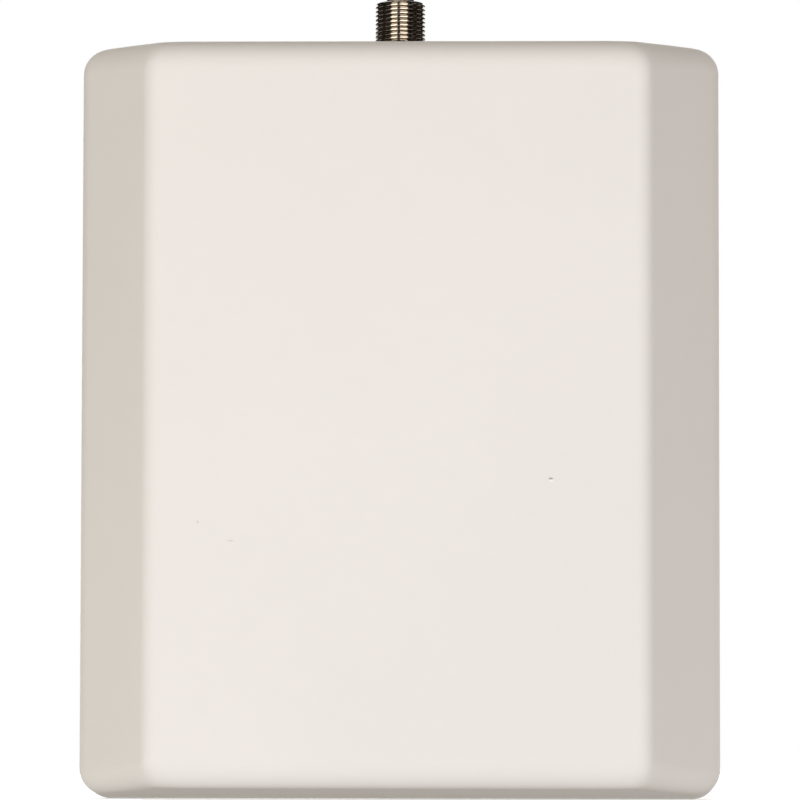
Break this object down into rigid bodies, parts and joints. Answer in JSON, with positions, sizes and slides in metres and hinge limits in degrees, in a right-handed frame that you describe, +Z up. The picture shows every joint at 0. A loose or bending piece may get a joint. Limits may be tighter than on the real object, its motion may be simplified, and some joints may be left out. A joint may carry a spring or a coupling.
{
  "type": "panel antenna",
  "caption": "Flat wall-mounted panel antenna: a moulded radome with bevelled sides over a reflector, driven pair and director, fed through a threaded coaxial socket in its top wall.",
  "frame": {"origin": "centre of the bracket hole pattern, on the flat rear face that meets the wall", "axes": "+Z up the panel towards the coaxial socket, +Y out of the rear face into the wall, so the flat front faces -Y, +X across the panel"},
  "size_m": [0.122, 0.038, 0.153],
  "materials": {
    "radome_plastic": "satin moulded",
    "cover_plastic": "satin moulded",
    "seal_foam": "matt",
    "zinc_steel": "zinc plated",
    "insert_brass": "turned",
    "sheet_aluminium": "mill finish",
    "arm_brass": "stamped",
    "post_brass": "turned",
    "nylon": "moulded",
    "cable_jacket": "extruded",
    "tinned_copper": "tinned",
    "bare_copper": "drawn",
    "cable_dielectric": "extruded",
    "solder": "flowed",
    "nickel_plate": "bright nickel plated",
    "socket_insulator": "moulded",
    "contact_bronze": "sprung",
    "black_rubber": "matt moulded"
  },
  "bodies": {
    "root": {"radome": "radome_plastic", "rear_cover": "cover_plastic", "cover_seal": "seal_foam", "cover_screws": "zinc_steel", "bracket_inserts": "insert_brass", "reflector": "sheet_aluminium", "reflector_screws": "zinc_steel", "upper_arm": "arm_brass", "lower_arm": "arm_brass", "upper_post": "post_brass", "lower_post": "post_brass", "post_screws": "zinc_steel", "arm_spacers": "nylon", "director": "sheet_aluminium", "director_spacers": "nylon", "stack_screws": "nylon", "stack_nuts": "nylon", "coax_jacket": "cable_jacket", "coax_braid": "tinned_copper", "coax_dielectric": "cable_dielectric", "feed_wire": "bare_copper", "solder_joints": "solder", "cable_saddle": "nylon", "connector_body": "nickel_plate", "connector_insulator": "socket_insulator", "connector_contact": "contact_bronze", "connector_nut": "nickel_plate", "lock_washer": "zinc_steel", "connector_seal": "black_rubber", "crimp_ferrule": "nickel_plate"}
  },
  "joints": []
}
